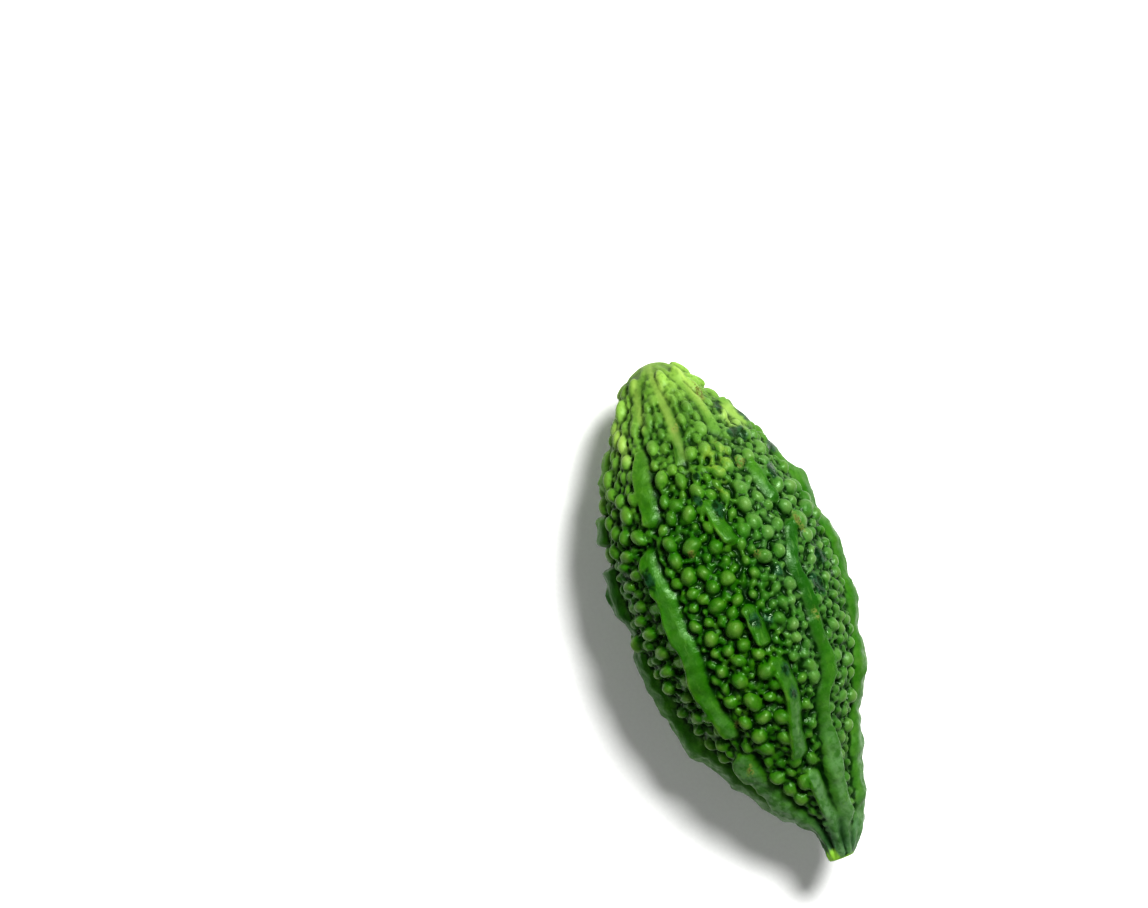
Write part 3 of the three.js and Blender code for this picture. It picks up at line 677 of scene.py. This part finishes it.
def beads(warts, chosen, subdivisions):
    """A bead for each chosen wart: a ball drawn out to its height, set on the body."""
    ball, faces = unit_ball(subdivisions)
    random = np.random.default_rng(SEED + subdivisions)
    n = len(chosen)
    x, phi = warts["x"][chosen], warts["phi"][chosen]
    radius = BEAD_SWELL * warts["radius"][chosen]
    height = warts["height"][chosen]
    body = body_at(x, phi)
    degrees = np.degrees(phi)
    finger = (x > FINGERS["along"][0]) & (x < FINGERS["along"][1])
    finger &= (degrees > FINGERS["degrees"][0]) & (degrees < FINGERS["degrees"][1])
    tilt = random.normal(0, BEAD_TILT, (n, 2))
    tilt[:, 1] -= np.where(finger, FINGERS["lean"], 0)
    up = unit(body["normal"] + tilt[:, :1] * body["lengthwise"] + tilt[:, 1:] * body["round"])
    turn = np.where(finger, 0, random.normal(0, BEAD_TURN, n) * smoothstep(*TURN_STARTS, x))
    long_way = np.cos(turn)[:, None] * body["lengthwise"] + np.sin(turn)[:, None] * body["round"]
    long_way = unit(long_way - np.sum(long_way * up, axis=1)[:, None] * up)
    wide_way = np.cross(up, long_way)
    stretch = warts["lengthening"][chosen] * random.uniform(*BEAD_LENGTH, n)
    stretch = np.where(finger, FINGERS["narrow"], stretch)
    widening = np.where(finger, FINGERS["wide"], random.uniform(*BEAD_WIDTH, n))
    taper = random.uniform(*BEAD_TAPER, n)
    half = (1 - BEAD_SINK) * height
    narrowing = 1 - taper[:, None] * ball[None, :, 2]
    across = radius[:, None] * narrowing
    points = (
        body["point"][:, None]
        + (BEAD_SINK * height)[:, None, None] * up[:, None]
        + (across * ball[None, :, 0] * stretch[:, None])[..., None] * long_way[:, None]
        + (across * ball[None, :, 1] * widening[:, None])[..., None] * wide_way[:, None]
        + (half[:, None] * ball[None, :, 2])[..., None] * up[:, None]
    )
    all_faces = faces[None] + (np.arange(n) * len(ball))[:, None, None]
    return points.reshape(-1, 3), all_faces.reshape(-1, 3)


def joined(parts):
    points, faces, count = [], [], 0
    for part_points, part_faces in parts:
        points.append(part_points)
        faces.append(part_faces + count)
        count += len(part_points)
    return np.concatenate(points), np.concatenate(faces)


def with_modifier(name, mesh, kind, **settings):
    """The mesh after one modifier."""
    holder = bpy.data.objects.new(name, mesh)
    bpy.context.scene.collection.objects.link(holder)
    modifier = holder.modifiers.new(name, kind)
    for key, value in settings.items():
        setattr(modifier, key, value)
    graph = bpy.context.evaluated_depsgraph_get()
    result = bpy.data.meshes.new_from_object(holder.evaluated_get(graph))
    bpy.data.objects.remove(holder)
    bpy.data.meshes.remove(mesh)
    return result


def coordinates(mesh):
    values = np.empty(3 * len(mesh.vertices), np.float32)
    mesh.vertices.foreach_get("co", values)
    return values.reshape(-1, 3).astype(float)


def edges_of(mesh):
    values = np.empty(2 * len(mesh.edges), np.int32)
    mesh.edges.foreach_get("vertices", values)
    return values.reshape(-1, 2)


def spread(values, edges, count, share=0.5):
    """Moves each vertex's value towards the mean of its neighbours, count times."""
    number = len(values)
    neighbours = np.bincount(edges.ravel(), minlength=number)
    flat = values.reshape(number, -1)
    for _ in range(count):
        mean = np.stack(
            [
                np.bincount(edges[:, 0], column[edges[:, 1]], number)
                + np.bincount(edges[:, 1], column[edges[:, 0]], number)
                for column in flat.T
            ],
            axis=1,
        ) / neighbours[:, None]
        flat = flat + share * (mean - flat)
    return flat.reshape(values.shape)


def uneven(points, edges):
    """The skin's points moved a little, so that no bead is an even ball, and a dome at each bruise."""
    noise.seed_set(SEED)  # so that the lumps are the same in every run
    moved = points.copy()
    x, phi, height, _ = skin_places(points)
    start, end, left = EVEN_TIP
    share = smoothstep(0, EVEN_CUT, LENGTH - x) * (left + (1 - left) * smoothstep(start, end, x))
    for size, most in UNEVENNESS:
        lump = np.array([noise.noise_vector(Vector(p) / size) for p in points])
        moved += (share * most)[:, None] * lump
    level = spread(height, edges, BRUISE_ROUNDS)
    rise = spread(mark_field(points, BRUISES), edges, 1) * (level - height + BRUISE_RISE)
    return moved + body_at(x, phi)["normal"] * rise[:, None]


def skin_mesh(warts):
    """One closed skin: the body with its ridges and beads run together."""
    order = np.arange(len(warts["x"]))
    large = order[warts["radius"] > LARGE_BEAD]
    small = order[warts["radius"] <= LARGE_BEAD]
    points, faces = joined([
        body_shell(),
        beads(warts, large, LARGE_BEAD_FINENESS),
        beads(warts, small, SMALL_BEAD_FINENESS),
    ])
    raw = new_mesh("raw_skin", points, faces)
    fused = with_modifier("fused_skin", raw, "REMESH", mode="VOXEL", voxel_size=VOXEL, adaptivity=0)
    softened = spread(coordinates(fused), edges_of(fused), SOFTENING_ROUNDS)
    fused.vertices.foreach_set("co", softened.astype(np.float32).ravel())
    triangles = 2 * len(fused.polygons)
    skin = with_modifier(
        "gourd_skin", fused, "DECIMATE", ratio=min(1, MOST_TRIANGLES / triangles),
        use_collapse_triangulate=True,
    )
    settled = uneven(coordinates(skin), edges_of(skin))
    settled[:, 2] = np.maximum(settled[:, 2], 0)  # what would reach under the table is flat
    skin.vertices.foreach_set("co", settled.astype(np.float32).ravel())
    skin.update()
    skin.shade_smooth()
    print("skin", len(warts["x"]), "warts", triangles, "->", len(skin.polygons), "triangles")
    return skin


def skin_places(points):
    """For points of the skin: x, phi, height over the smooth body, and the body's radius there."""
    x = points[:, 0] + LENGTH / 2
    for _ in range(PLACE_ROUNDS):
        x = np.clip(x, END_MARGINS[0], LENGTH - END_MARGINS[1])
        across = points[:, 1] - side_bend(x) - SIDE_SHIFT
        up = (points[:, 2] - AXIS_HEIGHT + sag(x)) / FLATNESS
        phi = np.arctan2(across, up)
        body = body_at(x, phi)
        gap = points - body["point"]
        height = np.sum(gap * body["normal"], axis=1)
        x = points[:, 0] + LENGTH / 2 - height * body["normal"][:, 0]
    return np.clip(x, 0, LENGTH), phi, height, body["radius"]


def add_number(mesh, name, values):
    mesh.attributes.new(name, "FLOAT", "POINT").data.foreach_set("value", values.astype(np.float32))


def mark_field(points, marks):
    """How strongly marks cover points, 1 in their middle and 0 outside, seen from above."""
    cover = np.zeros(len(points))
    wobble = sum(
        share * np.sin(points[:, 0] * with_x + points[:, 1] * with_y)
        for share, with_x, with_y in MARK_WAVES
    )
    for x, side, half_length, half_width, turn in marks:
        angle = math.radians(turn)
        along = points[:, 0] + LENGTH / 2 - x
        across = points[:, 1] - SIDE_SHIFT - side
        u = (along * math.cos(angle) + across * math.sin(angle)) / half_length
        v = (across * math.cos(angle) - along * math.sin(angle)) / half_width
        cover = np.maximum(cover, smoothstep(*MARK_EDGE, np.hypot(u, v) + wobble))
    return cover * (points[:, 2] > AXIS_HEIGHT - MARKED_DEPTH)


def wart_tones(points, warts):
    """For points of the skin: a random number that each wart has for its own, from 0 to 1."""
    body = body_at(warts["x"], warts["phi"])
    crowns = body["point"] + body["normal"] * warts["height"][:, None] * CROWN
    tree = kdtree.KDTree(len(crowns))
    for index, crown in enumerate(crowns):
        tree.insert(crown, index)
    tree.balance()
    nearest = np.array([tree.find(point)[1] for point in points])
    return np.random.default_rng(SEED).uniform(0, 1, len(crowns))[nearest]


def add_skin_numbers(mesh, warts):
    """What the skin's material reads at each vertex."""
    points = coordinates(mesh)
    edges = edges_of(mesh)
    x, phi, height, radius = skin_places(points)
    height = np.where(x > LENGTH - CUT_FACE, CUT_FACE_HEIGHT, height)
    _, _, wax, on_ridge = ridge_field(x, phi, radius)
    near_stem = smoothstep(*STEM_WAX_STARTS, x) * (1 - wax) * STEM_WAX
    on_cut = smoothstep(LENGTH - CUT_COLOUR[0], LENGTH - CUT_COLOUR[1], points[:, 0] + LENGTH / 2)
    tone = np.where(on_ridge > MIDDLE_TONE, MIDDLE_TONE, wart_tones(points, warts))
    add_number(mesh, "along", x / LENGTH)
    add_number(mesh, "height", height)
    add_number(mesh, "ridge", spread(on_ridge, edges, 1))
    add_number(mesh, "wax", spread(wax + near_stem, edges, WAX_ROUNDS))
    add_number(mesh, "cavity", spread(height, edges, CAVITY_ROUNDS) - height)
    add_number(mesh, "crease", spread(height, edges, CREASE_ROUNDS) - height)
    add_number(mesh, "bruise", mark_field(points, BRUISES))
    add_number(mesh, "scab", mark_field(points, SCABS))
    add_number(mesh, "yellow", spread(mark_field(points, YELLOW_PATCHES), edges, MARK_ROUNDS))
    add_number(mesh, "pale", spread(mark_field(points, PALE_STRIPES), edges, MARK_ROUNDS))
    add_number(mesh, "cut", np.maximum(on_cut, mark_field(points, CUT_RIM)))
    add_number(mesh, "tone", spread(tone, edges, 1))


def colour(red_green_blue):
    """A colour given in bytes, as light."""
    parts = [c / 255 for c in red_green_blue]
    return (*(c / 12.92 if c <= 0.04045 else ((c + 0.055) / 1.055) ** 2.4 for c in parts), 1)


class Tree:
    """A small helper that adds nodes and joins their sockets."""

    def __init__(self, name):
        self.material = bpy.data.materials.new(name)
        self.material.use_nodes = True
        self.nodes = self.material.node_tree.nodes
        self.links = self.material.node_tree.links
        self.nodes.clear()

    def add(self, kind, inputs=(), **settings):
        node = self.nodes.new(kind)
        for key, value in settings.items():
            setattr(node, key, value)
        for socket, value in dict(inputs).items():
            if isinstance(value, bpy.types.NodeSocket):
                self.links.new(value, node.inputs[socket])
            else:
                node.inputs[socket].default_value = value
        return node

    def number(self, name):
        return self.add("ShaderNodeAttribute", attribute_name=name).outputs["Fac"]

    def math(self, operation, first, second, clamp=False):
        node = self.add("ShaderNodeMath", {0: first, 1: second}, operation=operation, use_clamp=clamp)
        return node.outputs[0]

    def product(self, first, *others):
        for other in others:
            first = self.math("MULTIPLY", first, other)
        return first

    def span(self, value, low, high, to_low=0.0, to_high=1.0):
        """Turns value from low..high to to_low..to_high, held at the ends."""
        node = self.add(
            "ShaderNodeMapRange",
            {"Value": value, "From Min": low, "From Max": high, "To Min": to_low, "To Max": to_high},
            interpolation_type="SMOOTHSTEP",
        )
        return node.outputs["Result"]

    def mix(self, share, first, second):
        """From the first colour to the second by a share."""
        node = self.add("ShaderNodeMix", data_type="RGBA")
        for socket, value in ((0, share), (6, first), (7, second)):
            if isinstance(value, bpy.types.NodeSocket):
                self.links.new(value, node.inputs[socket])
            else:
                node.inputs[socket].default_value = value
        return node.outputs[2]

    def noise(self, vector, scale, detail):
        node = self.add("ShaderNodeTexNoise", {"Vector": vector, "Scale": scale, "Detail": detail})
        return node.outputs["Fac"]

    def ramp(self, value, stops):
        node = self.add("ShaderNodeValToRGB", {"Fac": value})
        elements = node.color_ramp.elements
        while len(elements) < len(stops):
            elements.new(0.5)
        for element, (place, shade) in zip(elements, stops):
            element.position = place
            element.color = colour(shade)
        return node.outputs["Color"]


def plain_green(tree, read):
    """The green along the fruit, with its grain and each wart's own tone."""
    green = tree.ramp(read["along"], GREENS)
    for source, start, full, most, shade in GREEN_CHANGES:
        green = tree.mix(tree.span(read[source], start, full, 0, most), green, colour(shade))
    return green


def with_bloom_and_highlight(tree, read, green):
    """A pale colour on the tops of the warts, and all over the +Y side's shoulder: partly the skin's
    waxy bloom and partly painted highlight.
    """
    off_ridges = tree.span(read["ridge"], 0.3, 0.8, 1, 0.3)
    # Painted highlight, with some waxy bloom, on the raised tops of the warts
    top_highlight = tree.product(
        tree.span(read["cavity"], -0.1, -1, 0, 0.55),
        tree.span(read["mottle"], 0.35, 0.6, 0.35, 1),
        off_ridges,
    )
    green = tree.mix(top_highlight, green, colour(WART_BLOOM_AND_HIGHLIGHT))
    position = tree.add("ShaderNodeSeparateXYZ", {"Vector": read["place"]})
    # Painted highlight, with some waxy bloom, on the upper +Y side that faces the key light
    shoulder_highlight = tree.product(
        tree.span(position.outputs["Y"], 0.002, 0.016, 0, 0.4),
        tree.span(position.outputs["Z"], 0.02, 0.042),
        tree.span(read["mottle"], 0.3, 0.6, 0.4, 1),
        off_ridges,
    )
    return tree.mix(shoulder_highlight, green, colour(SHOULDER_BLOOM_AND_HIGHLIGHT))


def with_wax(tree, read, green):
    """Ridges are waxy, greyer near the stem, dark where they are bare, and finely streaked."""
    along, ridge = read["along"], read["ridge"]
    bare = tree.product(
        tree.span(read["wax"], 0.35, 0.1, 0, 0.85),
        tree.span(ridge, 0.4, 0.85),
        tree.span(along, 0.22, 0.35),
        tree.span(along, 0.66, 0.46, 0.25, 1),
    )
    green = tree.mix(bare, green, colour(BARE_RIDGE))
    wax = tree.mix(tree.span(along, 0.55, 0.88), colour(RIDGE_WAX), colour(GREY_WAX))
    wax = tree.mix(tree.span(along, 0.5, 0.25), wax, colour(TIP_WAX))
    wax = tree.mix(tree.span(read["medium"], 0.4, 0.62, 0, 0.7), wax, colour(WORN_WAX))
    waxy = tree.product(
        tree.span(ridge, 0.5, 0.95, 0, 0.9), read["wax"], tree.span(along, 0.03, 0.14)
    )
    green = tree.mix(waxy, green, wax)
    mapping = {"Vector": read["place"], "Scale": STREAK_SQUEEZE}
    drawn_out = tree.add("ShaderNodeMapping", mapping).outputs[0]
    streaks = tree.span(tree.noise(drawn_out, *STREAK_GRAIN), 0.55, 0.72)
    streaks = tree.product(streaks, tree.span(ridge, 0.6, 1, 0, 0.35))
    return tree.mix(streaks, green, colour(RIDGE_STREAK))


def with_pale_places(tree, read, green):
    """Pale stripes, and a yellowish patch."""
    stripe = tree.mix(tree.span(read["along"], 0.1, 0.3), colour(PALE_TIP), colour(PALE_STEM))
    green = tree.mix(tree.product(read["pale"], 0.5), green, stripe)
    patch = tree.product(read["yellow"], tree.span(read["medium"], 0.4, 0.6, 0, 0.55))
    return tree.mix(patch, green, colour(YELLOW))


def with_crevice_shade(tree, read, green):
    """Painted shade: dark in the low places and crevices between the warts and in fine creases, but not
    on the cut.
    """
    along = read["along"]
    # Painted shade where the skin lies low between the warts
    low = tree.product(
        tree.span(read["height"], -0.2, 2.2, 0.9, 0),
        tree.span(along, 0.02, 0.3, 0.5, 1),
        tree.span(along, 0.965, 0.99, 1, 0.1),
    )
    green = tree.mix(low, green, colour(SHADE_BETWEEN_WARTS))
    warty = tree.product(
        tree.span(along, 0.03, 0.28, 0.4, 1), tree.span(read["ridge"], 0.3, 0.75, 1, 0.12)
    )
    # Painted shade in the crevices and the fine creases
    crevice_shade = tree.product(tree.span(read["cavity"], -0.1, 0.8, 0, 0.96), warty)
    green = tree.mix(crevice_shade, green, colour(CREVICE_SHADE))
    crease = tree.product(tree.span(read["crease"], 0, 0.2, 0, 0.75), warty)
    green = tree.mix(crease, green, colour(CREASE_SHADE))
    return tree.mix(read["cut"], green, colour(CUT_FLESH))


def with_damage(tree, read, green, crust):
    """Bruises are wet and dark, mottled with a paler blue-grey that is partly their own tone and partly
    painted sheen; scabs dry and brown.
    """
    bruised = tree.mix(
        tree.span(read["medium"], 0.4, 0.62), colour(WET_BRUISE), colour(BRUISE_TONE_AND_SHEEN)
    )
    green = tree.mix(tree.product(read["bruise"], 0.92), green, bruised)
    green = tree.mix(tree.product(crust, 0.8), green, colour(DRY_SCAB))
    return tree.mix(tree.span(crust, 0.85, 1, 0, 0.6), green, colour(BROWN_SCAB))


def skin_material():
    """A waxy green skin, with painted highlight on the wart tops and the +Y shoulder and painted shade
    between the warts. Each step lays its colours over those before it.
    """
    tree = Tree("gourd_skin")
    read = {name: tree.number(name) for name in SKIN_NUMBERS}
    read["place"] = tree.add("ShaderNodeTexCoord").outputs["Object"]
    for name, grain in GRAINS.items():
        read[name] = tree.noise(read["place"], *grain)
    crust = tree.product(read["scab"], tree.span(read["crust"], 0.38, 0.55))

    green = plain_green(tree, read)
    for step in (with_bloom_and_highlight, with_wax, with_pale_places, with_crevice_shade):
        green = step(tree, read, green)
    green = with_damage(tree, read, green, crust)

    rough = tree.span(read["medium"], 0.3, 0.7, 0.28, 0.48)
    rough = tree.math("ADD", rough, tree.span(read["along"], 0.3, 0.1, 0, 0.12))
    rough = tree.math("SUBTRACT", rough, tree.product(read["bruise"], 0.14))
    rough = tree.math("ADD", rough, tree.product(crust, 0.3), clamp=True)
    relief = tree.math("ADD", tree.product(read["fine"], 0.3), read["medium"])
    bump = tree.add("ShaderNodeBump", {"Strength": 0.5, "Distance": 0.4 * MM, "Height": relief})
    surface = tree.add("ShaderNodeBsdfPrincipled", {
        "Base Color": green, "Roughness": rough, "Normal": bump.outputs["Normal"], "IOR": 1.4,
        "Specular IOR Level": 0.38, "Specular Tint": (0.75, 1, 0.7, 1),
    })
    tree.add("ShaderNodeOutputMaterial", {"Surface": surface.outputs["BSDF"]})
    return tree.material


def floor_material():
    tree = Tree("pale_floor")
    place = tree.add("ShaderNodeTexCoord").outputs["Object"]
    grain = tree.span(tree.noise(place, *FLOOR_GRAIN), 0.3, 0.7)
    shade = tree.mix(grain, *(colour(shade) for shade in FLOOR_COLOURS))
    surface = tree.add("ShaderNodeBsdfPrincipled", {"Base Color": shade, "Roughness": 0.75})
    tree.add("ShaderNodeOutputMaterial", {"Surface": surface.outputs["BSDF"]})
    return tree.material


def make_gourd():
    warts = place_warts()
    mesh = skin_mesh(warts)
    add_skin_numbers(mesh, warts)
    points = coordinates(mesh) * MM
    mesh.vertices.foreach_set("co", points.astype(np.float32).ravel())
    mesh.update()
    mesh.materials.append(skin_material())
    gourd = bpy.data.objects.new("gourd_skin", mesh)
    bpy.context.scene.collection.objects.link(gourd)
    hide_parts("gourd")
    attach(gourd, "root")


def make_floor():
    corners = np.array([[-1, -1, 0], [1, -1, 0], [1, 1, 0], [-1, 1, 0]]) * FLOOR_HALF
    floor = bpy.data.objects.new("floor", new_mesh("floor", corners, np.array([[0, 1, 2, 3]])))
    floor.data.materials.append(floor_material())
    bpy.context.scene.collection.objects.link(floor)


def picture_frame():
    """The picture's directions right and down in the world, its size per pixel, and its middle."""
    run = np.subtract(CUT_PIXEL, TIP_PIXEL)
    pixels = np.hypot(*run)
    along = run / pixels
    per_pixel = LENGTH * MM / pixels
    right = Vector((along[0], along[1], 0))
    down = Vector((along[1], -along[0], 0))
    middle = np.add(CUT_PIXEL, TIP_PIXEL) / 2
    offset = middle - np.array(PICTURE) / 2
    centre = Vector((0, SIDE_SHIFT * MM, 0)) - (right * offset[0] + down * offset[1]) * per_pixel
    return right, down, per_pixel, centre


def make_camera():
    right, down, per_pixel, centre = picture_frame()
    camera = bpy.data.objects.new("camera", bpy.data.cameras.new("camera"))
    camera.data.lens = LENS
    camera.data.sensor_width = SENSOR
    distance = PICTURE[0] * per_pixel * LENS / SENSOR
    camera.location = centre + Vector((0, 0, distance + AXIS_HEIGHT * MM))
    camera.rotation_euler = (0, 0, math.atan2(right.y, right.x))
    bpy.context.scene.collection.objects.link(camera)
    bpy.context.scene.camera = camera
    return right, down


def make_lights(right, down):
    """A soft light over the picture's upper side, a weak one opposite, and a pale surrounding."""
    up = -down
    scene = bpy.context.scene
    for name, side, rise, height, size, power in LIGHTS:
        light = bpy.data.objects.new(name, bpy.data.lights.new(name, "AREA"))
        light.data.shape = "DISK"
        light.data.size = size
        light.data.energy = power
        light.location = right * side + up * rise + Vector((0, 0, height))
        light.rotation_euler = (-light.location).to_track_quat("-Z", "Y").to_euler()
        scene.collection.objects.link(light)
    world = bpy.data.worlds.new("surrounding")
    world.use_nodes = True
    background = world.node_tree.nodes["Background"]
    background.inputs["Color"].default_value = (1, 1, 1, 1)
    background.inputs["Strength"].default_value = SURROUNDING
    scene.world = world
    scene.view_settings.view_transform = "Standard"
    scene.view_settings.look = "High Contrast"


make_gourd()
make_floor()
right, down = make_camera()
make_lights(right, down)
